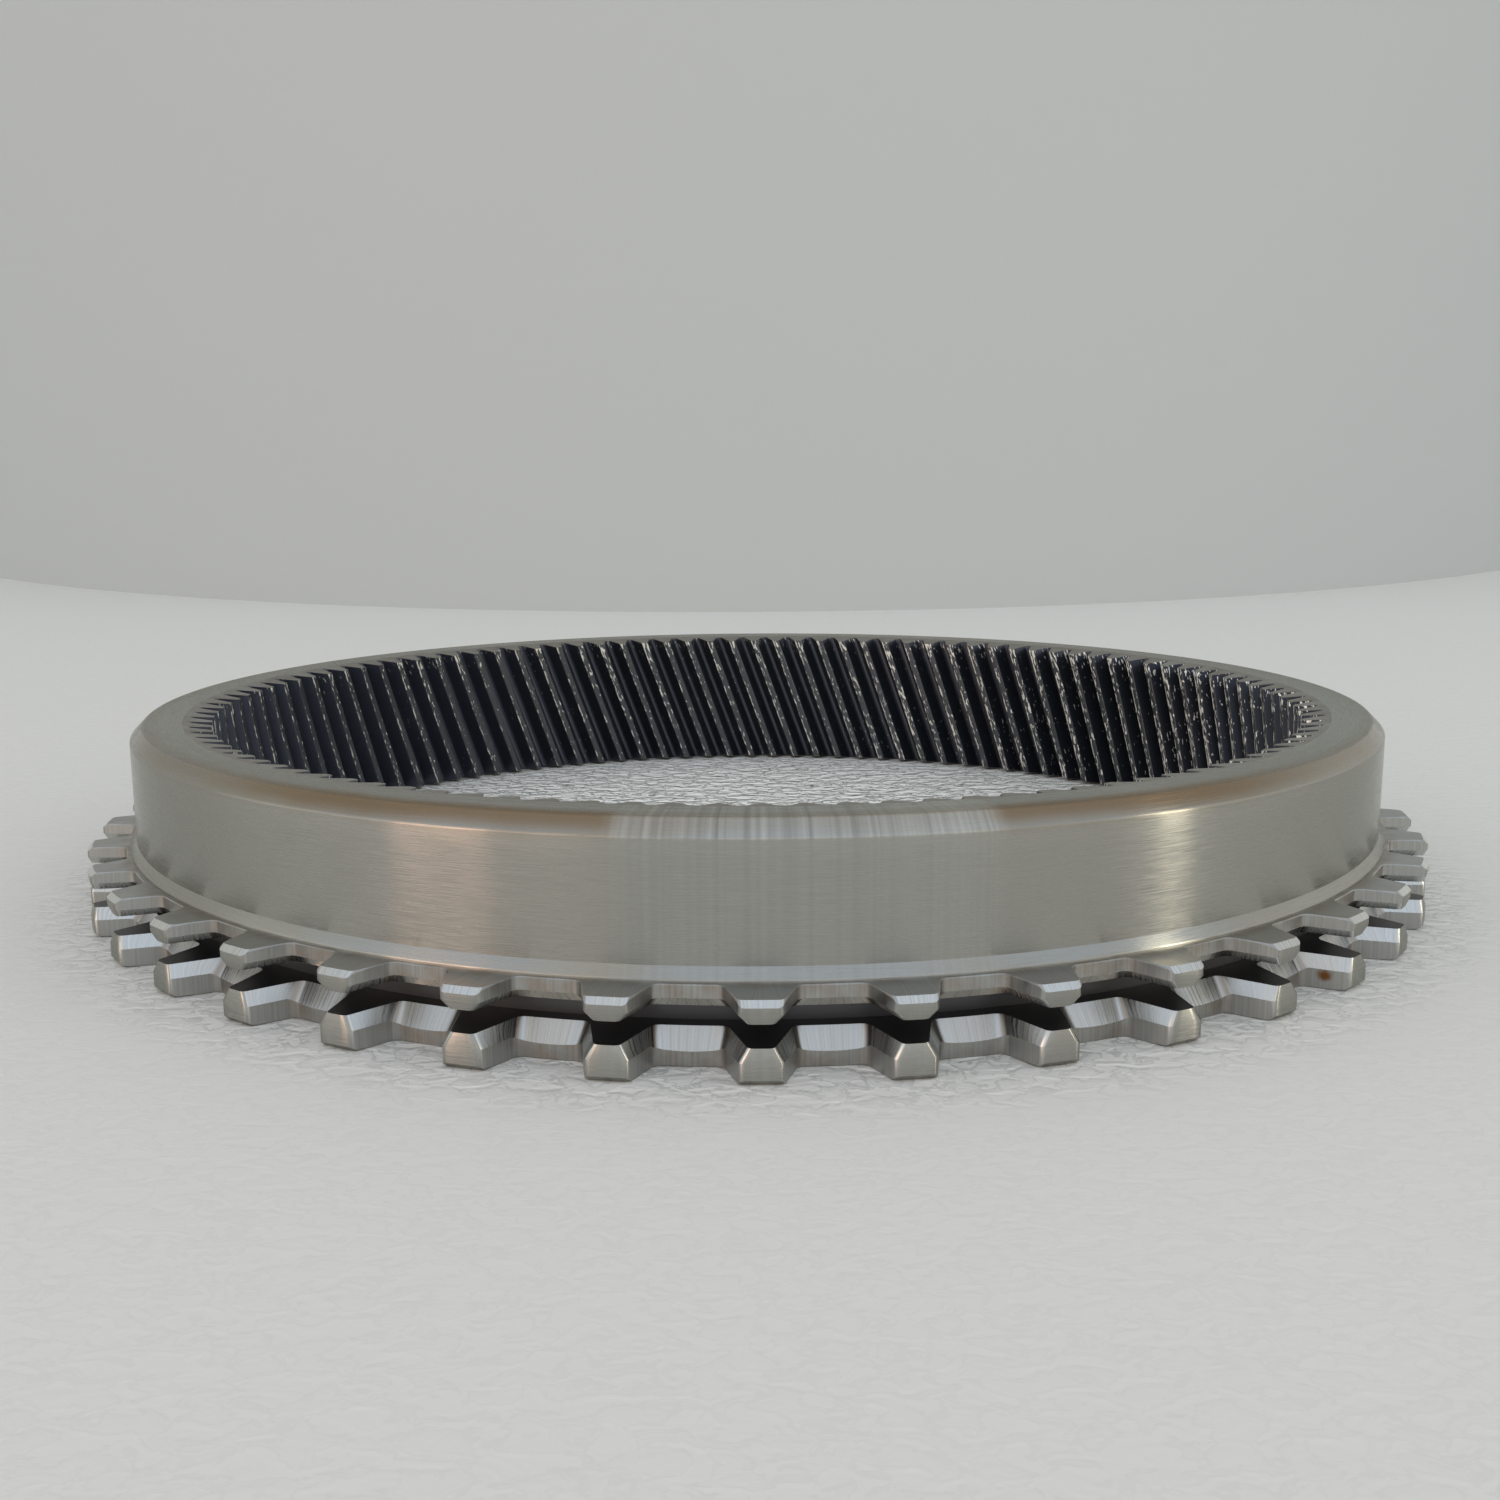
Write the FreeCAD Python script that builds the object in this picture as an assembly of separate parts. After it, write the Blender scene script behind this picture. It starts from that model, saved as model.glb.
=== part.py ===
import FreeCAD, Part
import math
import os

# A ring gear for a planetary gear set, turned and cut from one piece of steel.
# Helical gear teeth line the bore. At the foot of the smooth outside stands a coarse
# straight-sided spline, which a ring groove splits into a thin and a thick row.
# The ring lies on its splined end. The origin is the middle of that face, +Z the axis.

# Inner helical gear teeth
GEAR_TEETH = 112
NORMAL_MODULE = 1.286
HELIX_ANGLE = 20.0
NORMAL_PRESSURE_ANGLE = 20.0
ADDENDUM_FACTOR = 1.0
DEDENDUM_FACTOR = 1.25
# Cone that bevels the ends of the teeth, and how far it reaches past their roots
TOOTH_END_DROP = 0.5
TOOTH_END_MARGIN = 0.8
# Where the first gap starts on the bottom face, in degrees from the middle of a spline tooth
FIRST_GAP_ANGLE = 1.9

# Smooth body, with the metal that it has outside the roots of the inner teeth
RING_WALL = 7.24
TOTAL_HEIGHT = 23.6
RIM_CHAMFER_WIDTH = 1.6
RIM_CHAMFER_HEIGHT = 1.6

# Small conical shoulder between the body and the spline
SHOULDER_STEP = 0.8
SHOULDER_CONE_HEIGHT = 1.15
SHOULDER_WALL_HEIGHT = 0.25

# Outer spline, whose spaces end a small step outside the body
SPLINE_TEETH = 40
SPLINE_ROOT_STEP = 1.3
SPLINE_TOOTH_DEPTH = 4.8
SPLINE_TIP_WIDTH = 4.0
SPLINE_FLANK_ANGLE = 17.5
SPLINE_EDGE_BREAK = 0.6

# The two rows of the spline and the ring groove between them, upwards
LOWER_ROW_HEIGHT = 3.6
GROOVE_WIDTH = 2.3
UPPER_ROW_HEIGHT = 2.25
GROOVE_DEPTH = 3.3

# Bevels that follow the tooth spaces on both sides of the groove
LOWER_BEVEL_HEIGHT = 1.7
LOWER_BEVEL_ROOT = 1.5
LOWER_BEVEL_FLANK = 0.85
UPPER_BEVEL_HEIGHT = 0.9
UPPER_BEVEL_ROOT = 0.7
UPPER_BEVEL_FLANK = 0.8

# How far the cutting shapes run past the faces that they cut
OVERRUN = 1.0
# Largest turn of one ruled step along a helical tooth, in degrees
STEP_TURN = 4.5


def at(radius, angle, height):
    """A point from its radius, its angle in radians and its height."""
    return FreeCAD.Vector(radius * math.cos(angle), radius * math.sin(angle), height)


def cap(points):
    """The flat face inside a closed chain of points."""
    return Part.Face(Part.makePolygon(points + points[:1]))


def around(shape, count, first):
    """Copies of a shape, evenly spaced about the axis from the first one's angle in degrees."""
    copies = []
    for index in range(count):
        turned = shape.copy()
        angle = first + index * 360.0 / count
        turned.rotate(FreeCAD.Vector(0, 0, 0), FreeCAD.Vector(0, 0, 1), angle)
        copies.append(turned)
    return copies


# Gear sizes in the plane across the axis
helix = math.radians(HELIX_ANGLE)
transverse_module = NORMAL_MODULE / math.cos(helix)
transverse_pressure = math.atan(math.tan(math.radians(NORMAL_PRESSURE_ANGLE)) / math.cos(helix))
pitch_radius = transverse_module * GEAR_TEETH / 2
dedendum = DEDENDUM_FACTOR * NORMAL_MODULE
gear_tip_radius = pitch_radius - ADDENDUM_FACTOR * NORMAL_MODULE
gear_root_radius = pitch_radius + dedendum
mouth_radius = gear_root_radius + TOOTH_END_MARGIN
turn_per_height = math.tan(helix) / pitch_radius

# Radii and heights of the outside
body_radius = gear_root_radius + RING_WALL
shoulder_radius = body_radius + SHOULDER_STEP
spline_root_radius = body_radius + SPLINE_ROOT_STEP
spline_tip_radius = spline_root_radius + SPLINE_TOOTH_DEPTH
groove_radius = spline_root_radius - GROOVE_DEPTH
groove_top = LOWER_ROW_HEIGHT + GROOVE_WIDTH
spline_height = groove_top + UPPER_ROW_HEIGHT
shoulder_top = spline_height + SHOULDER_WALL_HEIGHT + SHOULDER_CONE_HEIGHT


def turned_blank():
    """The turned ring before any tooth is cut, from its section."""
    section = [
        (mouth_radius, 0),
        (gear_tip_radius, TOOTH_END_DROP),
        (gear_tip_radius, TOTAL_HEIGHT - TOOTH_END_DROP),
        (mouth_radius, TOTAL_HEIGHT),
        (body_radius - RIM_CHAMFER_WIDTH, TOTAL_HEIGHT),
        (body_radius, TOTAL_HEIGHT - RIM_CHAMFER_HEIGHT),
        (body_radius, shoulder_top),
        (shoulder_radius, shoulder_top - SHOULDER_CONE_HEIGHT),
        (shoulder_radius, spline_height),
        (spline_tip_radius - SPLINE_EDGE_BREAK, spline_height),
        (spline_tip_radius, spline_height - SPLINE_EDGE_BREAK),
        (spline_tip_radius, groove_top),
        (groove_radius, groove_top),
        (groove_radius, LOWER_ROW_HEIGHT),
        (spline_tip_radius, LOWER_ROW_HEIGHT),
        (spline_tip_radius, SPLINE_EDGE_BREAK),
        (spline_tip_radius - SPLINE_EDGE_BREAK, 0),
    ]
    face = cap([FreeCAD.Vector(radius, 0, height) for radius, height in section])
    return face.revolve(FreeCAD.Vector(0, 0, 0), FreeCAD.Vector(0, 0, 1), 360)


def gear_gap():
    """One gap between two inner teeth: a trapezoid that turns as it climbs.

    Half of the pitch is gap at the pitch circle. The flanks are straight in the
    section, which a tooth this small can't be told from.
    """
    half_gap = math.pi / GEAR_TEETH / 2 * pitch_radius
    slope = math.tan(transverse_pressure)
    mouth = gear_tip_radius - OVERRUN
    half_root = half_gap - dedendum * slope
    half_mouth = half_gap + (pitch_radius - mouth) * slope
    corners = [(mouth, -half_mouth), (mouth, half_mouth),
               (gear_root_radius, half_root), (gear_root_radius, -half_root)]
    climb = TOTAL_HEIGHT + 2 * OVERRUN
    steps = math.ceil(math.degrees(climb * turn_per_height) / STEP_TURN)
    levels = []
    for step in range(steps + 1):
        height = climb * step / steps - OVERRUN
        turn = height * turn_per_height
        levels.append([at(math.hypot(x, y), math.atan2(y, x) + turn, height) for x, y in corners])
    faces = [cap(levels[0]), cap(levels[-1])]
    for lower, upper in zip(levels, levels[1:]):
        for start in range(len(corners)):
            end = (start + 1) % len(corners)
            faces.append(Part.makeRuledSurface(Part.makeLine(lower[start], lower[end]),
                                               Part.makeLine(upper[start], upper[end])))
    shell = Part.makeShell(faces)
    shell.sewShape()
    gap = Part.makeSolid(shell)
    if gap.Volume < 0:
        gap.reverse()
    return gap


def space_outline(height, root_inset, flank_inset):
    """The outline of one spline tooth space, widened into the metal by the insets.

    The space lies about +X. Its floor is an arc and its sides are straight.
    """
    half_pitch = math.pi / SPLINE_TEETH
    flank = math.radians(SPLINE_FLANK_ANGLE)
    root = spline_root_radius - root_inset
    slope = math.tan(flank)
    # The side runs past the tip circle, so that the space opens outwards
    outer_x = spline_tip_radius + OVERRUN
    outer_y = SPLINE_TIP_WIDTH / 2 - OVERRUN * slope - flank_inset / math.cos(flank)
    # Where the side meets the floor circle, in the frame of the tooth beside the space
    rise = outer_y + outer_x * slope
    reach = 1 + slope * slope
    root_x = (rise * slope + math.sqrt(reach * root * root - rise * rise)) / reach
    root_y = rise - root_x * slope
    outer_turn = half_pitch - math.atan2(outer_y, outer_x)
    root_turn = half_pitch - math.atan2(root_y, root_x)
    outer = math.hypot(outer_x, outer_y)
    left_out, left_in = at(outer, outer_turn, height), at(root, root_turn, height)
    right_in, right_out = at(root, -root_turn, height), at(outer, -outer_turn, height)
    floor = Part.Arc(left_in, at(root, 0, height), right_in).toShape()
    return Part.Wire([Part.makeLine(left_out, left_in), floor,
                      Part.makeLine(right_in, right_out), Part.makeLine(right_out, left_out)])


def spline_space():
    """One tooth space of the spline, cut straight through both rows."""
    outline = Part.Face(space_outline(-OVERRUN, 0, 0))
    return outline.extrude(FreeCAD.Vector(0, 0, spline_height + 2 * OVERRUN))


def groove_bevel(edge, foot, root_inset, flank_inset):
    """The bevel of one tooth space, from its foot in the row to the groove's edge."""
    return Part.makeLoft([space_outline(foot, 0, 0),
                          space_outline(edge, root_inset, flank_inset)], True, True)


def ring_gear():
    """The whole ring: the turned blank less its gaps, spaces and bevels."""
    lower_bevel = groove_bevel(LOWER_ROW_HEIGHT, LOWER_ROW_HEIGHT - LOWER_BEVEL_HEIGHT,
                               LOWER_BEVEL_ROOT, LOWER_BEVEL_FLANK)
    upper_bevel = groove_bevel(groove_top, groove_top + UPPER_BEVEL_HEIGHT,
                               UPPER_BEVEL_ROOT, UPPER_BEVEL_FLANK)
    cutters = around(gear_gap(), GEAR_TEETH, FIRST_GAP_ANGLE)
    # The first space lies half a pitch round, so that a spline tooth stands on +X
    for shape in (spline_space(), lower_bevel, upper_bevel):
        cutters += around(shape, SPLINE_TEETH, 180.0 / SPLINE_TEETH)
    return turned_blank().cut(cutters)


ring = ring_gear()
solid = ring.Solids[0]
print("solids", len(ring.Solids), "valid", solid.isValid(), "faces", len(solid.Faces),
      "volume", round(solid.Volume), "box", solid.optimalBoundingBox())
os.makedirs("parts", exist_ok=True)
solid.exportStep("parts/ring_gear.step")
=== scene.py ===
from math import atan2, cos, hypot, pi, radians, sin, sqrt, tan

import bpy
import numpy as np
from mathutils import Matrix, Vector


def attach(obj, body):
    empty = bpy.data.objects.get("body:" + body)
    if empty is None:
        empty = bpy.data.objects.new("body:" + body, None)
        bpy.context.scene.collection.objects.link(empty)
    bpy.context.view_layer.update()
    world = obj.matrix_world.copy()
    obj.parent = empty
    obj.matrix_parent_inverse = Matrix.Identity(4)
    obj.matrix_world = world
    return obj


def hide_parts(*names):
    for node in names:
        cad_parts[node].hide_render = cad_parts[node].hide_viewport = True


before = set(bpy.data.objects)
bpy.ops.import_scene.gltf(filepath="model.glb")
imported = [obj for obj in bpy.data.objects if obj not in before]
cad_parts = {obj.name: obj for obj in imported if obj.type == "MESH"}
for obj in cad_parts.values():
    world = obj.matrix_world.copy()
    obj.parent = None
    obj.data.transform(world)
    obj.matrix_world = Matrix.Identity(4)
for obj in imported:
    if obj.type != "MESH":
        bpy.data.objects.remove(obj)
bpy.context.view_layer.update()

# Inner gear teeth: 112 right-hand helical teeth, broached into the bore of the steel ring and
# hardened, which leaves the flanks almost black. The tips are worn back to bare metal in
# flecks. Lengths here and in the sections below are millimetres.
MM = 0.001
GEAR_TEETH = 112
NORMAL_MODULE = 1.286
HELIX_ANGLE = 20.0
NORMAL_PRESSURE_ANGLE = 20.0
DEDENDUM_FACTOR = 1.25
FIRST_GAP_ANGLE = 1.9
TOTAL_HEIGHT = 23.6
END_DROP = 0.5
END_MARGIN = 0.8
ROOT_FILLET = 0.22
TIP_EDGE_BREAK = 0.09
END_EDGE_BREAK = 0.07
RISE_ROWS = 22
FLANK_COLOUR = "#3F424B"
ROOT_COLOUR = "#585A62"
LAND_COLOUR = "#5A5C60"
FLECK_COLOUR = "#EEEAE0"
# How far off the tips the land's colour ends, and off the roots the roots' colour starts
LAND_ENDS, LAND_FULL = 0.14, 0.04
ROOT_STARTS, ROOT_FULL = 0.5, 0.15
# The flecks are drawn out along the teeth, and gather in patches
FLECK_SIZE = 0.32
FLECK_SQUEEZE = 0.3
PATCH_SIZE = 5.0
FLAKE_THICKNESS = 0.03
# The wear is a sum: patches, the lands, the stretch below the rim, and the side of the ring
PATCH_WEAR, LAND_WEAR, RIM_WEAR = 0.3, 0.10, 0.09
RIM_STRETCH = 5
LEFT_WEAR, RIGHT_WEAR = -0.04, 0.045
FLECK_STARTS, FLECK_FULL = 0.87, 0.91
EDGE_LINE_STARTS, EDGE_LINE_FULL = 0.76, 0.8
# Where a land's leading edge lies, in pitches from the middle of a gap, and half the width of
# the bright line on it
EDGE_LINE_PLACE, EDGE_LINE_HALF_WIDTH = 0.605, 0.026
# From 25 mm beside the middle to the far left and the far right, painted light and shade change the
# colours by these
MIDDLE_END = 25
LEFT_FLANK_LIGHT, LEFT_LAND_SHADE, RIGHT_TEETH_SHADE = 2.6, 0.8, 0.6

helix = radians(HELIX_ANGLE)
pitch_radius = NORMAL_MODULE / cos(helix) * GEAR_TEETH / 2
gear_tip = pitch_radius - NORMAL_MODULE
gear_root = pitch_radius + DEDENDUM_FACTOR * NORMAL_MODULE
mouth = gear_root + END_MARGIN
turn_per_height = tan(helix) / pitch_radius
flank_slope = tan(radians(NORMAL_PRESSURE_ANGLE)) / cos(helix)
first_gap = radians(FIRST_GAP_ANGLE)

# The skin of the whole ring is one closed grid of quads. Its rows run round the axis, one
# after another from the inner teeth over the rim and the outer spline and under the bottom.
COLUMNS = 1120
step_angle = 2 * pi / COLUMNS
rows, finishes = [], []
# Settings of a MapRange node that eases in and out
SMOOTH = {"interpolation_type": "SMOOTHSTEP"}


def add_row(radius, angle, height, finish):
    """Adds one row of the grid. The finish is the material between it and the row before."""
    ring = np.empty((COLUMNS, 3))
    radius = np.broadcast_to(radius, COLUMNS)
    ring[:, 0] = radius * np.cos(angle) * MM
    ring[:, 1] = radius * np.sin(angle) * MM
    ring[:, 2] = np.broadcast_to(height, COLUMNS) * MM
    rows.append(ring)
    finishes.append(np.broadcast_to(finish, COLUMNS))


def srgb(code):
    """A hex sRGB colour as linear RGBA."""
    values = [int(code[i:i + 2], 16) / 255 for i in (1, 3, 5)]
    return [v / 12.92 if v <= 0.04045 else ((v + 0.055) / 1.055) ** 2.4 for v in values] + [1]


def add(tree, kind, inputs=(), output=0, **settings):
    """Adds a shader node, sets or links its inputs by name or in order, returns one output."""
    node = tree.nodes.new("ShaderNode" + kind)
    for name, value in settings.items():
        setattr(node, name, value)
    for key, value in inputs.items() if isinstance(inputs, dict) else enumerate(inputs):
        if isinstance(value, bpy.types.NodeSocket):
            tree.links.new(value, node.inputs[key])
        else:
            node.inputs[key].default_value = value
    return node.outputs[output]


def new_metal(name, anisotropy=0):
    """A bare metal: the material, its node tree and the inputs of its shader."""
    material = bpy.data.materials.new(name)
    material.use_nodes = True
    tree = material.node_tree
    shader = tree.nodes["Principled BSDF"].inputs
    shader["Metallic"].default_value = 1
    if anisotropy:
        # The tool's lines run round the axis and spread the light across themselves
        shader["Anisotropic"].default_value = anisotropy
        shader["Anisotropic Rotation"].default_value = 0.25
        tangent = add(tree, "Tangent", direction_type="RADIAL", axis="Z")
        tree.links.new(tangent, shader["Tangent"])
    return material, tree, shader


def measure(tree):
    """The place of the shaded point, its distance from the axis and its height, in mm."""
    metres = add(tree, "TexCoord", output="Object")
    place = add(tree, "VectorMath", {0: metres, "Scale": 1 / MM}, operation="SCALE")
    flat = add(tree, "VectorMath", (place, (1, 1, 0)), operation="MULTIPLY")
    radius = add(tree, "VectorMath", (flat,), "Value", operation="LENGTH")
    height = add(tree, "SeparateXYZ", (place,), "Z")
    return place, radius, height


# Broached, case-hardened and oiled steel: near-black satin, with lighter roots and lands.
# Its thin oxide scatters a little light, so that the shaded flanks stay just above black.
blackened, tree, shader = new_metal("blackened_broached_steel")
shader["Metallic"].default_value = 0.78
place, radius, height = measure(tree)
# With the helix turned back, what runs upright follows the teeth
turn = add(tree, "Math", (height, -turn_per_height), operation="MULTIPLY")
straight = add(tree, "VectorRotate", {"Vector": place, "Angle": turn}, rotation_type="Z_AXIS")
along = add(tree, "VectorMath", (straight, (1, 1, FLECK_SQUEEZE)), operation="MULTIPLY")
on_land = add(tree, "MapRange", (radius, gear_tip + LAND_ENDS, gear_tip + LAND_FULL))
on_root = add(tree, "MapRange", (radius, gear_root - ROOT_STARTS, gear_root - ROOT_FULL))
near_top = add(tree, "MapRange", (height, TOTAL_HEIGHT - RIM_STRETCH, TOTAL_HEIGHT), **SMOOTH)
side = add(tree, "SeparateXYZ", (place,), "X")
to_right = add(tree, "MapRange", (side, -gear_tip, gear_tip, LEFT_WEAR, RIGHT_WEAR))
specks = add(tree, "TexNoise", {"Vector": along, "Scale": 1 / FLECK_SIZE, "Detail": 3})
patches = add(tree, "TexNoise", {"Vector": along, "Scale": 1 / PATCH_SIZE, "Detail": 2})
wear = add(tree, "Math", (patches, PATCH_WEAR, specks), operation="MULTIPLY_ADD")
wear = add(tree, "Math", (on_land, LAND_WEAR, wear), operation="MULTIPLY_ADD")
wear = add(tree, "Math", (near_top, RIM_WEAR, wear), operation="MULTIPLY_ADD")
wear = add(tree, "Math", (wear, to_right), operation="ADD")
fleck = add(tree, "MapRange", (wear, FLECK_STARTS, FLECK_FULL), **SMOOTH)
# The land's leading edge is rubbed bright in a thin broken line
east = add(tree, "SeparateXYZ", (straight,), "X")
north = add(tree, "SeparateXYZ", (straight,), "Y")
bearing = add(tree, "Math", (north, east), operation="ARCTAN2")
pitches_per_turn = GEAR_TEETH / (2 * pi)
pitches = add(tree, "Math", (bearing, pitches_per_turn, -first_gap * pitches_per_turn),
              operation="MULTIPLY_ADD")
phase = add(tree, "Math", (pitches,), operation="FRACT")
on_edge = add(tree, "Math", (phase, EDGE_LINE_PLACE, EDGE_LINE_HALF_WIDTH), operation="COMPARE")
broken = add(tree, "MapRange", (wear, EDGE_LINE_STARTS, EDGE_LINE_FULL))
edge_line = add(tree, "Math", (on_edge, broken), operation="MULTIPLY")
edge_line = add(tree, "Math", (edge_line, on_land), operation="MULTIPLY")
colour = add(tree, "MixRGB", (on_root, srgb(FLANK_COLOUR), srgb(ROOT_COLOUR)))
# Painted light: the flanks are lighter at the left
painted_left_light = add(tree, "MapRange", (side, -gear_tip, -MIDDLE_END, LEFT_FLANK_LIGHT, 1))
colour = add(tree, "VectorMath", {0: colour, "Scale": painted_left_light}, operation="SCALE")
colour = add(tree, "MixRGB", (on_land, colour, srgb(LAND_COLOUR)))
# Painted shade: between the flecks the lands are duller at the left, and whole teeth are darker at
# the right
for direction, share in ((-1, LEFT_LAND_SHADE), (1, RIGHT_TEETH_SHADE)):
    painted_side_shade = add(tree, "MapRange", (side, direction * MIDDLE_END, direction * gear_tip, 1, share))
    colour = add(tree, "VectorMath", {0: colour, "Scale": painted_side_shade}, operation="SCALE")
bright = add(tree, "Math", (fleck, edge_line), operation="MAXIMUM")
colour = add(tree, "MixRGB", (bright, colour, srgb(FLECK_COLOUR)))
tree.links.new(colour, shader["Base Color"])
tree.links.new(add(tree, "MapRange", (bright, 0, 1, 0.36, 0.5)), shader["Roughness"])
flakes = add(tree, "Bump", {"Strength": 0.5, "Distance": FLAKE_THICKNESS * MM, "Height": bright})
tree.links.new(flakes, shader["Normal"])

# Half of one gap as (radius, distance from the gap's middle): root, fillet, flank, tip land
half_gap = pi / GEAR_TEETH / 2 * pitch_radius
half_root = half_gap - (gear_root - pitch_radius) * flank_slope
half_tip = half_gap + (pitch_radius - gear_tip) * flank_slope
middle = (gear_root + gear_tip) / 2
half_profile = [
    (gear_root, half_root - ROOT_FILLET),
    (gear_root - ROOT_FILLET, half_root + ROOT_FILLET * flank_slope),
    (middle, half_gap + (pitch_radius - middle) * flank_slope),
    (gear_tip + TIP_EDGE_BREAK, half_tip - TIP_EDGE_BREAK * flank_slope),
    (gear_tip, half_tip + TIP_EDGE_BREAK),
]
# The way into the metal at each of those points, for the broken edges at the teeth's ends
half_inward = [(1, 0.3), (0.8, 0.7), (0.35, 1), (0, 1), (0, 0.6)]
profile = [(r, -y) for r, y in reversed(half_profile)] + half_profile
inward = [(r, -y) for r, y in reversed(half_inward)] + half_inward


def gear_outline(edge):
    """Radius and unturned angle of each column on the teeth, moved by edge into the metal."""
    radius, angle = np.empty(COLUMNS), np.empty(COLUMNS)
    for column in range(COLUMNS):
        gap, point = divmod(column, len(profile))
        x = profile[point][0] + edge * inward[point][0]
        y = profile[point][1] + edge * inward[point][1]
        radius[column] = hypot(x, y)
        angle[column] = first_gap + gap * 2 * pi / GEAR_TEETH + atan2(y, x)
    return radius, angle


def end_cone(radius):
    """How far below the end face the bevel on the teeth's ends lies at a radius."""
    return END_DROP * (mouth - radius) / (mouth - gear_tip)


# Faced steel: the turned bevel on the teeth's ends and the flat underside. It looks duller
# and finer-lined than the body, with brownish smudges.
FACED_COLOUR = "#8F8D88"
FACED_SMUDGE_COLOUR = "#7D776C"
FACED_LINE_SIZE = 0.15
FACED_SMUDGE_SIZE = 6
faced, tree, shader = new_metal("faced_steel", 0.5)
place, radius, _ = measure(tree)
round_lines = add(tree, "CombineXYZ", (radius,))
lines = add(tree, "TexNoise", {"Vector": round_lines, "Scale": 1 / FACED_LINE_SIZE, "Detail": 2})
smudge = add(tree, "TexNoise", {"Vector": place, "Scale": 1 / FACED_SMUDGE_SIZE, "Detail": 3})
tone = add(tree, "MapRange", (lines, 0.3, 0.7, 0.86, 1.1))
colour = add(tree, "MixRGB", (smudge, srgb(FACED_COLOUR), srgb(FACED_SMUDGE_COLOUR)))
colour = add(tree, "VectorMath", {0: colour, "Scale": tone}, operation="SCALE")
tree.links.new(colour, shader["Base Color"])
tree.links.new(add(tree, "MapRange", (smudge, 0.3, 0.7, 0.34, 0.5)), shader["Roughness"])

even_angle = first_gap + (np.arange(COLUMNS) - (len(profile) - 1) / 2) * step_angle
outline_r, outline_a = gear_outline(0)
broken_r, broken_a = gear_outline(END_EDGE_BREAK)
bottom = end_cone(outline_r) + END_EDGE_BREAK
top = TOTAL_HEIGHT - bottom

add_row(mouth, even_angle, 0, faced)
low = end_cone(broken_r)
add_row(broken_r, broken_a + turn_per_height * low, low, faced)
add_row(outline_r, outline_a + turn_per_height * bottom, bottom, faced)
for rise in range(1, RISE_ROWS + 1):
    height = bottom + (top - bottom) * rise / RISE_ROWS
    add_row(outline_r, outline_a + turn_per_height * height, height, blackened)
high = TOTAL_HEIGHT - end_cone(broken_r)
add_row(broken_r, broken_a + turn_per_height * high, high, faced)
add_row(mouth, even_angle + turn_per_height * TOTAL_HEIGHT, TOTAL_HEIGHT, faced)

# Rim, smooth body and shoulder: turned on a lathe and left bare, so that fine lines run
# round it and smear every reflection upright. A tan oxide stain follows the rim's edge.
RING_WALL = 7.24
RIM_CHAMFER_WIDTH = 1.6
RIM_CHAMFER_HEIGHT = 1.6
SHOULDER_STEP = 0.8
SHOULDER_CONE_HEIGHT = 1.15
SHOULDER_WALL_HEIGHT = 0.25
LOWER_ROW_HEIGHT = 3.6
GROOVE_WIDTH = 2.3
UPPER_ROW_HEIGHT = 2.25
TURNED_EDGE = 0.22
SHOULDER_EDGE = 0.12
BODY_ROWS = 5
# Two more rows on the flat of the rim, this far outside the mouth of the inner teeth
MOUTH_ROW_STEP, RIM_ROW_STEP = 0.4, 2.4
STEEL_COLOUR = "#A1A09A"
STAIN_COLOUR = "#86725A"
GRAZING_COLOUR = "#E2E2DF"
# The tool's lines are finer than a pixel here, so they show as sheen
LINE_SIZE = 0.035
LINE_WANDER = 0.01
LINE_RELIEF = 0.01
CLOUD_SIZE = 11
# The painted reflection on the front of the ring, as angles round from the front, its soft
# ends, and where it gets brighter
REFLECTION_STREAK_SIZE = 0.5
REFLECTION_LEFT, REFLECTION_RIGHT, REFLECTION_FADE = radians(-10.5), radians(16.5), radians(2)
REFLECTION_DIM_END, REFLECTION_BRIGHT_START = radians(4), radians(14)
# Where the stain starts and ends, down the section from the rim's edge
STAIN_INSIDE, STAIN_OUTSIDE = -1.8, 1.6
STAIN_FADE_IN, STAIN_FADE_OUT = 2.2, 3.6
STAIN_RAGGEDNESS = 1.6
# How strong it is, and between which angles from the front it weakens
FRONT_STAIN, SIDE_STAIN, STAIN_UNDER_REFLECTION = 0.9, 0.4, 0.24
FRONT_END, SIDE_START = radians(30), radians(50)

body = gear_root + RING_WALL
shoulder = body + SHOULDER_STEP
groove_top = LOWER_ROW_HEIGHT + GROOVE_WIDTH
spline_top = groove_top + UPPER_ROW_HEIGHT
shoulder_top = spline_top + SHOULDER_WALL_HEIGHT + SHOULDER_CONE_HEIGHT
# The helix has turned the columns this far at the top, and the outside goes on from there
lead = round(turn_per_height * TOTAL_HEIGHT / step_angle)
outer_index = np.arange(COLUMNS) + lead
outer_angle = outer_index * step_angle


def bearing_from_front(tree, direction):
    """The angle of a direction round the axis, from the front (-Y) towards the right (+X)."""
    east = add(tree, "SeparateXYZ", (direction,), "X")
    north = add(tree, "SeparateXYZ", (direction,), "Y")
    south = add(tree, "Math", (north, -1), operation="MULTIPLY")
    return add(tree, "Math", (east, south), operation="ARCTAN2")


# Bare steel turned at a fine feed: silky grey, with bright upright streaks under the lamps
turned, tree, shader = new_metal("turned_bare_steel", 1)
# Fine tool lines shade one another, so that the flats seen edge-on stay a little darker
shader["Specular Tint"].default_value = srgb(GRAZING_COLOUR)
place, radius, height = measure(tree)
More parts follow.
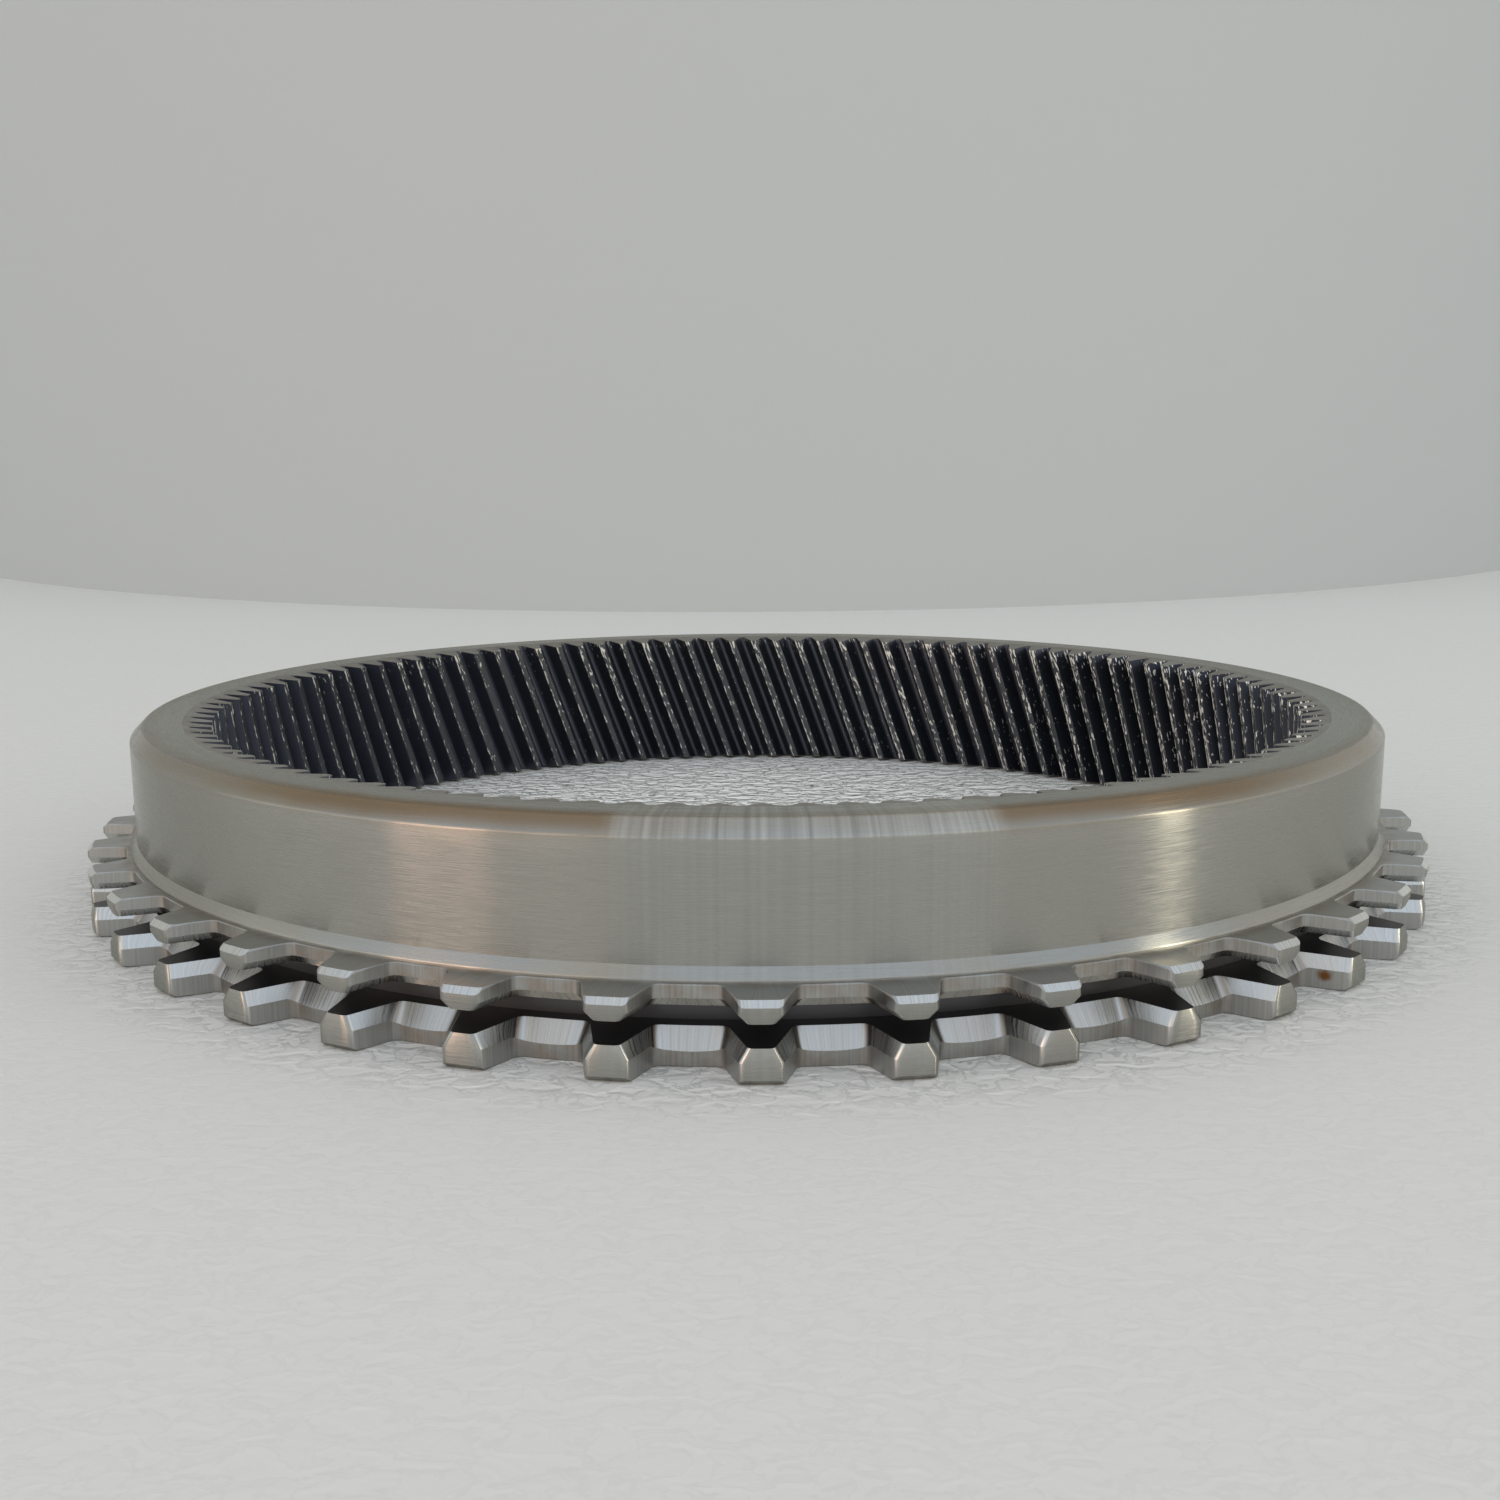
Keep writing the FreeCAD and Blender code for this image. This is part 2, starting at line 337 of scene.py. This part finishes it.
# The way out from the axis at one radius, on which a pattern keeps its size round the ring
flat = add(tree, "VectorMath", (place, (1, 1, 0)), operation="MULTIPLY")
out = add(tree, "VectorMath", (flat,), operation="NORMALIZE")
way_round = add(tree, "VectorMath", {0: out, "Scale": gear_root}, operation="SCALE")
bearing = bearing_from_front(tree, way_round)
section_place = add(tree, "CombineXYZ", (radius, 0, height))
wander = add(tree, "VectorMath", {0: way_round, "Scale": LINE_WANDER}, operation="SCALE")
line_place = add(tree, "VectorMath", (section_place, wander), operation="ADD")
lines = add(tree, "TexNoise", {"Vector": line_place, "Scale": 1 / LINE_SIZE, "Detail": 2})
clouds = add(tree, "TexNoise", {"Vector": place, "Scale": 1 / CLOUD_SIZE, "Detail": 4})
# Painted reflection on the front of the ring, with upright streaks in it
reflection_streaks = add(tree, "TexNoise", {"Vector": way_round, "Scale": 1 / REFLECTION_STREAK_SIZE, "Detail": 3})
left_end, right_end = [
    add(tree, "MapRange", (bearing, edge, edge + fade), **SMOOTH)
    for edge, fade in ((REFLECTION_LEFT, REFLECTION_FADE), (REFLECTION_RIGHT, -REFLECTION_FADE))]
under_reflection = add(tree, "Math", (left_end, right_end), operation="MULTIPLY")
# How far a point lies down the section from the rim's edge, outwards and downwards added up
down = add(tree, "Math", (radius, height), operation="SUBTRACT")
down = add(tree, "Math", (down, TOTAL_HEIGHT - body + RIM_CHAMFER_WIDTH), operation="ADD")
ragged = add(tree, "Math", (clouds, STAIN_RAGGEDNESS, down), operation="MULTIPLY_ADD")
starts = add(tree, "MapRange", (ragged, STAIN_INSIDE, STAIN_INSIDE + STAIN_FADE_IN), **SMOOTH)
ends = add(tree, "MapRange", (ragged, STAIN_OUTSIDE + STAIN_FADE_OUT, STAIN_OUTSIDE), **SMOOTH)
stain_and_shade = add(tree, "Math", (starts, ends), operation="MULTIPLY")
# It is strongest at the front, and almost missing under the painted reflection
off_front = add(tree, "Math", (bearing,), operation="ABSOLUTE")
strength = add(tree, "MapRange", (off_front, FRONT_END, SIDE_START, FRONT_STAIN, SIDE_STAIN),
               **SMOOTH)
strength = add(tree, "MapRange", (under_reflection, 0, 1, strength, STAIN_UNDER_REFLECTION))
stain_and_shade = add(tree, "Math", (stain_and_shade, strength), operation="MULTIPLY")
# The painted reflection is strong on the rim's bevel and faint below it, and brighter towards the
# right
bevel_end = 2 * RIM_CHAMFER_WIDTH
depth = add(tree, "MapRange", (down, bevel_end, bevel_end + 0.4, 1.3, 0.25))
level = add(tree, "MapRange", (bearing, REFLECTION_DIM_END, REFLECTION_BRIGHT_START, 0.45, 0.31))
reflection_and_line_tone = add(tree, "Math", (reflection_streaks, level), operation="SUBTRACT")
reflection_and_line_tone = add(tree, "Math", (reflection_and_line_tone, depth), operation="MULTIPLY")
tone = add(tree, "MapRange", (lines, 0.3, 0.7, 0.97, 1.03))
reflection_and_line_tone = add(tree, "Math", (reflection_and_line_tone, under_reflection, tone), operation="MULTIPLY_ADD")
colour = add(tree, "MixRGB", (stain_and_shade, srgb(STEEL_COLOUR), srgb(STAIN_COLOUR)))
colour = add(tree, "VectorMath", {0: colour, "Scale": reflection_and_line_tone}, operation="SCALE")
tree.links.new(colour, shader["Base Color"])
tree.links.new(add(tree, "MapRange", (lines, 0.44, 0.62, 0.16, 0.33)), shader["Roughness"])
relief = add(tree, "Bump", {"Strength": 0.08, "Distance": LINE_RELIEF * MM, "Height": lines})
tree.links.new(relief, shader["Normal"])


def rounded_corner(before, corner, after, size, steps=3):
    """Points on a small round at a corner of the turned section."""
    corner, before, after = Vector(corner), Vector(before), Vector(after)
    start = corner + (before - corner).normalized() * size
    end = corner + (after - corner).normalized() * size
    points = []
    for step in range(steps + 1):
        t = step / steps
        points.append((1 - t) ** 2 * start + 2 * t * (1 - t) * corner + t ** 2 * end)
    return points


rim_edge = (body - RIM_CHAMFER_WIDTH, TOTAL_HEIGHT)
chamfer_foot = (body, TOTAL_HEIGHT - RIM_CHAMFER_HEIGHT)
cone_foot = (shoulder, shoulder_top - SHOULDER_CONE_HEIGHT)
section = [Vector((mouth + step, TOTAL_HEIGHT)) for step in (MOUTH_ROW_STEP, RIM_ROW_STEP)]
section += rounded_corner((mouth, TOTAL_HEIGHT), rim_edge, chamfer_foot, TURNED_EDGE)
section += rounded_corner(rim_edge, chamfer_foot, (body, 0), TURNED_EDGE)
for step in range(1, BODY_ROWS + 1):
    share = step / BODY_ROWS
    section.append(Vector((body, chamfer_foot[1] * (1 - share) + shoulder_top * share)))
section += rounded_corner((body, shoulder_top), cone_foot, (shoulder, spline_top), SHOULDER_EDGE)
section.append(Vector((shoulder, spline_top)))
for point in section:
    add_row(point.x, outer_angle, point.y, turned)

# Outer spline: forty straight-sided teeth, milled across both rows. Their edges on the
# groove's side have wide bevels, which are bright because they were cut last.
SPLINE_TEETH = 40
SPLINE_ROOT_STEP = 1.3
SPLINE_TOOTH_DEPTH = 4.8
SPLINE_TIP_WIDTH = 4.0
SPLINE_FLANK_ANGLE = 17.5
SPLINE_EDGE_BREAK = 0.6
SPLINE_SIDE_BREAK = 0.1
TIP_CORNER = 0.65
ROOT_CORNER = 1.1
UPPER_BEVEL_HEIGHT = 0.9
UPPER_BEVEL_ROOT = 0.7
UPPER_BEVEL_FLANK = 0.8
LOWER_BEVEL_HEIGHT = 1.7
LOWER_BEVEL_ROOT = 1.5
LOWER_BEVEL_FLANK = 0.85
# The cutter of the lower bevel dips in the middle of each tooth space and lifts on the flanks
LOWER_BEVEL_DIP = 0.35
LOWER_BEVEL_LIFT = 0.3
GROOVE_TIP_BREAK = 0.3
MILLED_COLOUR = "#A8A8A5"
BEVEL_COLOUR = "#CFD1CF"
ROOT_BROWN_COLOUR = "#85715C"
RUST_COLOUR = "#7A5230"
RUST_PLACE = (61.0, -64.9, 1.5)
RUST_EDGE, RUST_FULL, RUST_RAGGEDNESS = 1.9, 1.2, 1.6
# Real feed marks are finer than these lines, and wouldn't show
MILLED_LINE_SIZE = 0.3
BEVEL_LINE_SIZE = 0.25
CUTTER_RELIEF = 0.01
SMUDGE_SIZE = 2.5
# How far out from the roots the flanks get browner, how brown, and how strong the bevels' painted
# shade is
ROOT_BROWN_REACH = 1.6
FLANK_BROWN, BEVEL_SHADE = 0.4, 0.85
# Where the corners with painted shade lie between the flank (0) and the middle of the space (1),
# how wide they are, and how much painted shade the floor between them gets
SHADED_CORNER, SHADED_WIDTH, SHADED_FLOOR = 0.33, 0.22, 0.35
# How many columns each stretch of half a tooth takes, from the tip's middle outwards
TIP_COLUMNS, CORNER_COLUMNS, FLANK_COLUMNS, FILLET_COLUMNS, ROOT_COLUMNS = 2, 3, 2, 4, 3

spline_root = body + SPLINE_ROOT_STEP
spline_tip = spline_root + SPLINE_TOOTH_DEPTH
flank = radians(SPLINE_FLANK_ANGLE)
flank_out = Vector((sin(flank), cos(flank)))
flank_down = Vector((-cos(flank), sin(flank)))

# Milled steel: satin grey with the cutter's lines across the thickness, browner at the roots
milled, tree, shader = new_metal("milled_steel")
place, radius, _ = measure(tree)
outline_mm = add(tree, "Attribute", (), "Fac", attribute_name="outline_mm")
lines = add(tree, "TexNoise", {"W": outline_mm, "Scale": 1 / MILLED_LINE_SIZE, "Detail": 2},
            noise_dimensions="1D")
smudge = add(tree, "TexNoise", {"Vector": place, "Scale": 1 / SMUDGE_SIZE, "Detail": 4})
low_down = add(tree, "MapRange", (radius, spline_root + ROOT_BROWN_REACH, spline_root), **SMOOTH)
stain_and_shade = add(tree, "Math", (low_down, add(tree, "MapRange", (smudge, 0.35, 0.6))),
            operation="MULTIPLY")
stain_and_shade = add(tree, "Math", (stain_and_shade, FLANK_BROWN), operation="MULTIPLY")
colour = add(tree, "MixRGB", (stain_and_shade, srgb(MILLED_COLOUR), srgb(ROOT_BROWN_COLOUR)))
# One small rust spot, below the bevel of a tooth at the right
away = add(tree, "VectorMath", (place, RUST_PLACE), "Value", operation="DISTANCE")
away = add(tree, "Math", (smudge, RUST_RAGGEDNESS, away), operation="MULTIPLY_ADD")
rust = add(tree, "MapRange", (away, RUST_EDGE, RUST_FULL), **SMOOTH)
colour = add(tree, "MixRGB", (rust, colour, srgb(RUST_COLOUR)))
tone = add(tree, "MapRange", (lines, 0.3, 0.7, 0.9, 1.1))
colour = add(tree, "VectorMath", {0: colour, "Scale": tone}, operation="SCALE")
tree.links.new(colour, shader["Base Color"])
tree.links.new(add(tree, "MapRange", (smudge, 0.3, 0.7, 0.3, 0.48)), shader["Roughness"])
relief = add(tree, "Bump", {"Strength": 0.2, "Distance": CUTTER_RELIEF * MM, "Height": lines})
tree.links.new(relief, shader["Normal"])

# Freshly cut steel on the bevels: the brightest metal on the part, with the cutter's cross
# lines, and painted shade, darker and browner, at the corners and floors of the roots
bevelled, tree, shader = new_metal("fresh_cut_steel")
outline_mm = add(tree, "Attribute", (), "Fac", attribute_name="outline_mm")
painted_root_shade = add(tree, "Attribute", (), "Fac", attribute_name="painted_root_shade")
lines = add(tree, "TexNoise", {"W": outline_mm, "Scale": 1 / BEVEL_LINE_SIZE, "Detail": 2},
            noise_dimensions="1D")
tone = add(tree, "MapRange", (lines, 0.3, 0.7, 0.84, 1.06))
# Painted shade: darker and browner at the roots' corners and across their floors
stain_and_shade = add(tree, "Math", (painted_root_shade, BEVEL_SHADE), operation="MULTIPLY")
colour = add(tree, "MixRGB", (stain_and_shade, srgb(BEVEL_COLOUR), srgb(ROOT_BROWN_COLOUR)))
colour = add(tree, "VectorMath", {0: colour, "Scale": tone}, operation="SCALE")
tree.links.new(colour, shader["Base Color"])
tree.links.new(add(tree, "MapRange", (lines, 0.3, 0.7, 0.24, 0.36)), shader["Roughness"])
relief = add(tree, "Bump", {"Strength": 0.3, "Distance": CUTTER_RELIEF * MM, "Height": lines})
tree.links.new(relief, shader["Normal"])


def stretch(start, end, count):
    """Points from start to end, evenly spaced, with the start left out."""
    return [start + (end - start) * step / count for step in range(1, count + 1)]


def spline_outline(root_inset=0, flank_inset=0, tip_inset=0):
    """Radius and angle of each column on the spline, moved into the metal by the insets."""
    tip, root = spline_tip - tip_inset, spline_root - root_inset
    offset = spline_tip * sin(flank) + SPLINE_TIP_WIDTH / 2 * cos(flank) - flank_inset
    tip_along = -sqrt((tip - TIP_CORNER) ** 2 - (offset - TIP_CORNER) ** 2)
    tip_centre = flank_out * (offset - TIP_CORNER) + flank_down * tip_along
    root_along = -sqrt((root + ROOT_CORNER) ** 2 - (offset + ROOT_CORNER) ** 2)
    root_centre = flank_out * (offset + ROOT_CORNER) + flank_down * root_along
    tip_angle = atan2(tip_centre.y, tip_centre.x)
    root_angle = atan2(root_centre.y, root_centre.x)
    flank_way = pi / 2 - flank
    half = [(tip, 0)]
    half += [(tip, a) for a in stretch(0, tip_angle, TIP_COLUMNS)]
    for turn in stretch(tip_angle, flank_way, CORNER_COLUMNS):
        point = tip_centre + Vector((cos(turn), sin(turn))) * TIP_CORNER
        half.append((point.length, atan2(point.y, point.x)))
    top_point = tip_centre + flank_out * TIP_CORNER
    foot_point = root_centre - flank_out * ROOT_CORNER
    for point in stretch(top_point, foot_point, FLANK_COLUMNS):
        half.append((point.length, atan2(point.y, point.x)))
    for turn in stretch(flank_way, root_angle, FILLET_COLUMNS):
        point = root_centre - Vector((cos(turn), sin(turn))) * ROOT_CORNER
        half.append((point.length, atan2(point.y, point.x)))
    half += [(root, a) for a in stretch(root_angle, pi / SPLINE_TEETH, ROOT_COLUMNS)]
    pitch = half + [(r, 2 * pi / SPLINE_TEETH - a) for r, a in reversed(half[1:-1])]
    tooth, column = outer_index // len(pitch), outer_index % len(pitch)
    points = np.array(pitch)[column]
    return points[:, 0], points[:, 1] + tooth * 2 * pi / SPLINE_TEETH


spline_r, spline_a = spline_outline()
# The broken edge is wide on the tips and narrow on the sides of the teeth
tipness = np.clip((spline_r - spline_tip + TIP_CORNER) / TIP_CORNER, 0, 1)
edge_break = SPLINE_SIDE_BREAK + (SPLINE_EDGE_BREAK - SPLINE_SIDE_BREAK) * tipness
inset_r, inset_a = spline_outline(SPLINE_SIDE_BREAK, SPLINE_SIDE_BREAK, SPLINE_EDGE_BREAK)
upper_r, upper_a = spline_outline(UPPER_BEVEL_ROOT, UPPER_BEVEL_FLANK, GROOVE_TIP_BREAK)
lower_r, lower_a = spline_outline(LOWER_BEVEL_ROOT, LOWER_BEVEL_FLANK, GROOVE_TIP_BREAK)
# The tips were turned before the spaces were cut, and stay so between the bevels
on_tip = tipness > 0.9
side_finish = np.where(on_tip, turned, milled)
bevel_finish = np.where(on_tip, turned, bevelled)
# From the flank (0) to the middle of the tooth space (1), and how much painted shade the bevel gets
# there
rootness = np.clip(np.cos(SPLINE_TEETH * outer_angle + pi), 0, 1)
corner_shade = np.exp(-((rootness - SHADED_CORNER) / SHADED_WIDTH) ** 2)
painted_root_shade = np.maximum(corner_shade, SHADED_FLOOR * rootness)
# Millimetres along the outline, for the cutter's lines
x, y = spline_r * np.cos(spline_a), spline_r * np.sin(spline_a)
outline_mm = np.concatenate([[0], np.cumsum(np.hypot(np.diff(x), np.diff(y)))])

add_row(inset_r, inset_a, spline_top, milled)
# The tips' upper edges were broken last, which leaves them as bright as the bevels
add_row(spline_r, spline_a, spline_top - edge_break, np.where(on_tip, bevelled, milled))
add_row(spline_r, spline_a, groove_top + UPPER_BEVEL_HEIGHT, side_finish)
add_row(upper_r, upper_a, groove_top, bevel_finish)

# Ring groove: turned between the two rows and blackened when the ring was hardened, so it
# is dark right down to its floor
GROOVE_DEPTH = 3.3
GROOVE_COLOUR = "#58595F"
GROOVE_LINE_COLOUR = "#605E5B"
GROOVE_LINE_SIZE = 0.2
groove_floor = spline_root - GROOVE_DEPTH
grooved, tree, shader = new_metal("blackened_turned_steel")
_, radius, height = measure(tree)
section_place = add(tree, "CombineXYZ", (radius, 0, height))
lines = add(tree, "TexNoise", {"Vector": section_place, "Scale": 1 / GROOVE_LINE_SIZE, "Detail": 2})
colour = add(tree, "MixRGB", (lines, srgb(GROOVE_COLOUR), srgb(GROOVE_LINE_COLOUR)))
tree.links.new(colour, shader["Base Color"])
tree.links.new(add(tree, "MapRange", (lines, 0.3, 0.7, 0.35, 0.5)), shader["Roughness"])
add_row(groove_floor, outer_angle, groove_top, grooved)
add_row(groove_floor, outer_angle, LOWER_ROW_HEIGHT, grooved)
add_row(lower_r, lower_a, LOWER_ROW_HEIGHT, grooved)

# Lower row of the spline and the flat underside, up to the mouth of the inner teeth. The
# underside has one row more, this far inside the roots of the spline.
ROOT_ROW_STEP = 1
flank_foot = LOWER_ROW_HEIGHT - LOWER_BEVEL_HEIGHT + LOWER_BEVEL_LIFT
bevel_foot = flank_foot - (LOWER_BEVEL_LIFT + LOWER_BEVEL_DIP) * rootness
add_row(spline_r, spline_a, bevel_foot, bevel_finish)
add_row(spline_r, spline_a, edge_break, side_finish)
add_row(inset_r, inset_a, 0, side_finish)
add_row(spline_root - ROOT_ROW_STEP, outer_angle, 0, faced)
add_row(mouth + MOUTH_ROW_STEP, outer_angle, 0, faced)

# The grid is closed: the last row joins the first one, which lies a whole number of
# columns on, because the helix has turned the columns on the way.
metals = [blackened, faced, turned, milled, bevelled, grooved]
row_count = len(rows)
index = np.arange(row_count * COLUMNS).reshape(row_count, COLUMNS)
quads, skins = [], []
for row in range(row_count):
    following = (row + 1) % row_count
    here, after = index[row], index[following]
    if following == 0:
        after = np.roll(after, -lead)
    quads.append(np.stack([here, after, np.roll(after, -1), np.roll(here, -1)], axis=1))
    skins += [metals.index(finish) for finish in finishes[following]]
mesh = bpy.data.meshes.new("ring_gear_skin")
mesh.from_pydata(np.concatenate(rows).tolist(), [], np.concatenate(quads).tolist())
for metal in metals:
    mesh.materials.append(metal)
mesh.polygons.foreach_set("material_index", skins)
for name, values in (("outline_mm", outline_mm), ("painted_root_shade", painted_root_shade)):
    attribute = mesh.attributes.new(name, "FLOAT", "POINT")
    attribute.data.foreach_set("value", np.tile(values, row_count))
mesh.validate()
mesh.shade_smooth()
mesh.set_sharp_from_angle(angle=radians(28))
ring = bpy.data.objects.new("ring_gear_steel", mesh)
bpy.context.scene.collection.objects.link(ring)
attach(ring, "root")
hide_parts("ring_gear")

# Floor: a sheet of pale, soft foam that the ring lies on. Its film has fine crinkles, which
# are pressed deeper inside the ring. Their creases carry painted shade, strongest inside the
# ring, where it also darkens the floor in the ring's shade.
FLOOR_COLOUR, CREASE_SHADE_COLOUR = "#E2E0DB", "#565A5C"
CRINKLE_SIZE = 2.0
CRINKLE_SQUEEZE = 0.7
CRINKLE_RELIEF = 0.7
FOLD_STEP = 0.5
PRESSED_RADIUS, FLAT_RADIUS = 60, 100
FLOOR_HALF_WIDTH = 3000
# Foam film: matt and nearly white, with painted shade along each crinkle
sheet = bpy.data.materials.new("pale_foam_sheet")
sheet.use_nodes = True
tree = sheet.node_tree
shader = tree.nodes["Principled BSDF"].inputs
place, distance, _ = measure(tree)
pulled = add(tree, "VectorMath", (place, (CRINKLE_SQUEEZE, 1, 1)), operation="MULTIPLY")
behind = add(tree, "VectorMath", (pulled, (0, FOLD_STEP, 0)), operation="ADD")
crinkle, crinkle_behind = [
    add(tree, "TexNoise", {"Vector": spot, "Scale": 1 / CRINKLE_SIZE, "Detail": 3, "Distortion": 0.6})
    for spot in (pulled, behind)]
# Inside the ring and outside it: how much the painted crease shade fades, how strongly the
# folds' painted light and shade show, and how deep they are
faded, fold_shade, depth = [
    add(tree, "MapRange", (distance, PRESSED_RADIUS, FLAT_RADIUS, inside, outside))
    for inside, outside in ((0, 0.965), (5, 0.15), (1, 0.15))]
off_crinkle = add(tree, "Math", (crinkle, 0.5), operation="SUBTRACT")
off_crinkle = add(tree, "Math", (off_crinkle,), operation="ABSOLUTE")
share = add(tree, "MapRange", (off_crinkle, 0, 0.03))
share = add(tree, "Math", (share, faded), operation="MAXIMUM")
colour = add(tree, "MixRGB", (share, srgb(CREASE_SHADE_COLOUR), srgb(FLOOR_COLOUR)))
# Painted light and shade: each fold gets a lit side and a shaded side
fold = add(tree, "Math", (crinkle, crinkle_behind), operation="SUBTRACT")
tone = add(tree, "Math", (fold, fold_shade, 1), operation="MULTIPLY_ADD")
colour = add(tree, "VectorMath", {0: colour, "Scale": tone}, operation="SCALE")
tree.links.new(colour, shader["Base Color"])
shader["Roughness"].default_value = 0.8
relief = add(tree, "Bump", {"Strength": depth, "Distance": CRINKLE_RELIEF * MM, "Height": crinkle})
tree.links.new(relief, shader["Normal"])
floor_mesh = bpy.data.meshes.new("floor")
reach = FLOOR_HALF_WIDTH * MM
floor_corners = [(-reach, -reach, 0), (reach, -reach, 0), (reach, reach, 0), (-reach, reach, 0)]
floor_mesh.from_pydata(floor_corners, [], [(0, 1, 2, 3)])
floor_mesh.materials.append(sheet)
floor = bpy.data.objects.new("floor", floor_mesh)
bpy.context.scene.collection.objects.link(floor)

# Backdrop: a plain grey sheet of paper that stands behind the ring and bends away at both
# sides. It is matt and even.
WALL_COLOUR = "#C3C5C3"
WALL_FOOT, WALL_BEND = 396, 0.0014
WALL_HALF_WIDTH, WALL_HEIGHT, WALL_STEPS = 1000, 600, 60
paper = bpy.data.materials.new("grey_backdrop_paper")
paper.use_nodes = True
shader = paper.node_tree.nodes["Principled BSDF"].inputs
shader["Base Color"].default_value = srgb(WALL_COLOUR)
shader["Roughness"].default_value = 0.9
points, faces = [], []
for step in range(WALL_STEPS + 1):
    x = WALL_HALF_WIDTH * (2 * step / WALL_STEPS - 1)
    y = WALL_FOOT + WALL_BEND * x * x
    points += [(x * MM, y * MM, 0), (x * MM, y * MM, WALL_HEIGHT * MM)]
    if step:
        last = len(points)
        faces.append((last - 4, last - 2, last - 1, last - 3))
wall_mesh = bpy.data.meshes.new("backdrop")
wall_mesh.from_pydata(points, [], faces)
wall_mesh.materials.append(paper)
wall_mesh.shade_smooth()
wall = bpy.data.objects.new("backdrop", wall_mesh)
bpy.context.scene.collection.objects.link(wall)

# Studio light: a pale sky over a ring of soft fields that stand for the room. Each field has
# its place in degrees round from the front to the right, and its brightness and warmth.
ROOM = [(-180, "#969694"), (-108, "#969694"), (-92, "#BEBEBA"), (-66, "#CCC8C2"),
        (-50, "#D2C0B2"), (-36, "#E6D8CC"), (-27, "#D6CABE"), (-24, "#B8B9B9"),
        (38, "#B8B9B8"), (42, "#B4B0AA"), (60, "#B0AAA0"), (66, "#D0CCBE"),
        (76, "#D0CCBE"), (82, "#B8B8B4"), (110, "#ACACAA"), (180, "#969694")]
SKY = [(-180, "#A0A1A0"), (-96, "#989894"), (-80, "#A8B0BA"), (-50, "#A8B0BA"),
       (-40, "#ACACAC"), (-27, "#A8A5A0"), (-22, "#A9B1BB"), (36, "#A9B1BB"),
       (42, "#A6A4A0"), (50, "#A8B0BA"), (86, "#A8B0BA"), (100, "#989894"), (180, "#A0A1A0")]
SKY_START, SKY_FULL = 15, 30
BACKGROUND_COLOUR = "#AFB0AE"
LIGHT_LEVEL = 2.05
world = bpy.data.worlds.new("studio")
world.use_nodes = True
tree = world.node_tree
way = add(tree, "TexCoord", output="Generated")
up = add(tree, "SeparateXYZ", (way,), "Z")
share = add(tree, "MapRange", (bearing_from_front(tree, way), -pi, pi))
fields = []
for field in (ROOM, SKY):
    fields.append(add(tree, "ValToRGB", (share,)))
    stops = fields[-1].node.color_ramp.elements
    while len(stops) < len(field):
        stops.new(1)
    for stop, (degrees, colour) in zip(stops, field):
        stop.position = (degrees + 180) / 360
        stop.color = srgb(colour)
sky_heights = [sin(radians(angle)) for angle in (SKY_START, SKY_FULL)]
climb = add(tree, "MapRange", (up, *sky_heights), **SMOOTH)
room = add(tree, "MixRGB", (climb, fields[0], fields[1]))
seen = add(tree, "LightPath", output="Is Camera Ray")
room = add(tree, "MixRGB", (seen, room, srgb(BACKGROUND_COLOUR)))
tree.links.new(room, tree.nodes["Background"].inputs["Color"])
tree.nodes["Background"].inputs["Strength"].default_value = LIGHT_LEVEL
bpy.context.scene.world = world


def add_lamp(name, bearing, elevation, distance, width, height, brightness, colour):
    """A soft rectangular lamp that faces the ring, with its brightness as seen from there."""
    data = bpy.data.lights.new(name, "AREA")
    data.shape = "RECTANGLE"
    data.size, data.size_y = width * MM, height * MM
    data.energy = brightness * pi * width * height * MM * MM
    data.color = srgb(colour)[:3]
    lamp = bpy.data.objects.new(name, data)
    a, e = radians(bearing), radians(elevation)
    way = Vector((sin(a) * cos(e), -cos(a) * cos(e), sin(e)))
    lamp.location = way * distance * MM
    lamp.rotation_euler = way.to_track_quat("Z", "Y").to_euler()
    bpy.context.scene.collection.objects.link(lamp)


add_lamp("cream_strip", bearing=67.5, elevation=12, distance=700, width=70, height=340,
         brightness=5.5, colour="#FFF6DE")
add_lamp("pink_strip", bearing=-50, elevation=10, distance=700, width=200, height=230,
         brightness=2.2, colour="#FFD2B8")

# Camera: a pinhole camera where the photograph was taken from, with the place in
# millimetres and the angles in degrees
EYE = (-0.797, -228.25, 55.71)
PITCH, HEADING, ROLL = 10.1025, 0.033, -0.3229
FOCAL_PIXELS, FRAME_PIXELS, SENSOR = 1577.36, 1500, 36.0
CLIP_START = 10
camera_data = bpy.data.cameras.new("camera")
camera_data.sensor_width = SENSOR
camera_data.lens = SENSOR * FOCAL_PIXELS / FRAME_PIXELS
camera_data.clip_start = CLIP_START * MM
camera = bpy.data.objects.new("camera", camera_data)
bpy.context.scene.collection.objects.link(camera)
camera.matrix_world = (Matrix.Translation(Vector(EYE) * MM)
                       @ Matrix.Rotation(radians(HEADING), 4, "Z")
                       @ Matrix.Rotation(radians(90 - PITCH), 4, "X")
                       @ Matrix.Rotation(radians(ROLL), 4, "Z"))
bpy.context.scene.camera = camera
bpy.context.scene.view_settings.view_transform = "Standard"
